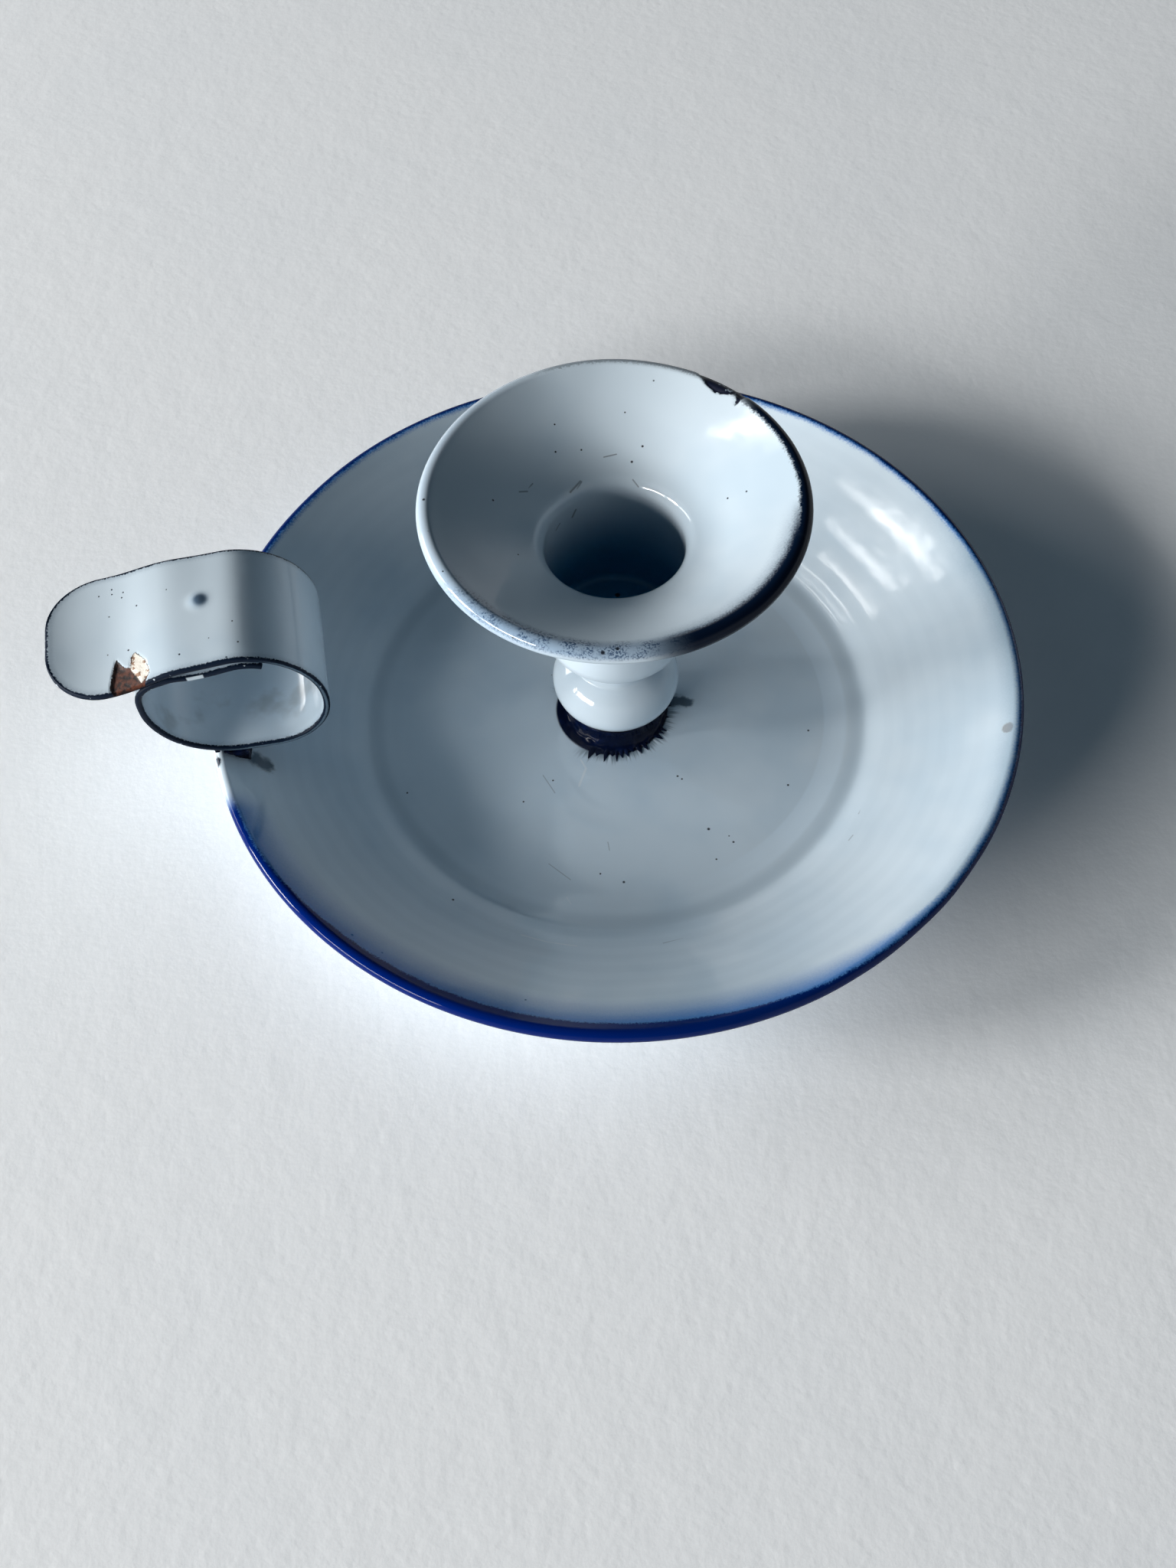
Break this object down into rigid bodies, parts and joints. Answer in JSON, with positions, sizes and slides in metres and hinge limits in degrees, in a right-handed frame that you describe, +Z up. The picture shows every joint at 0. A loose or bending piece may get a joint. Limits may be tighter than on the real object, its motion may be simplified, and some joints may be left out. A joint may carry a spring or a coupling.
{
  "type": "enamel candle holder",
  "caption": "White enamelled steel chamberstick: round dish with a dark blue rolled rim, knopped stem, candle socket with a drip tray, and a strap handle with a finger loop and thumb rest.",
  "frame": {"origin": "on the dish's axis, at the middle of the dish's flat underside, on the table", "axes": "+Z up along the dish's and the socket's axis, -X out towards the handle"},
  "size_m": [0.1675, 0.145, 0.0594],
  "materials": {
    "white_enamel": "glossy white enamel with a dark blue rim, worn dark edges and small chips",
    "dark_enamel": "blue-black ground enamel over the weld metal"
  },
  "bodies": {
    "root": {"dish": "white_enamel", "stem_knop": "white_enamel", "candle_socket": "white_enamel", "handle_strap": "white_enamel", "stem_weld": "dark_enamel", "seat_weld": "white_enamel", "handle_weld": "dark_enamel"}
  },
  "joints": []
}
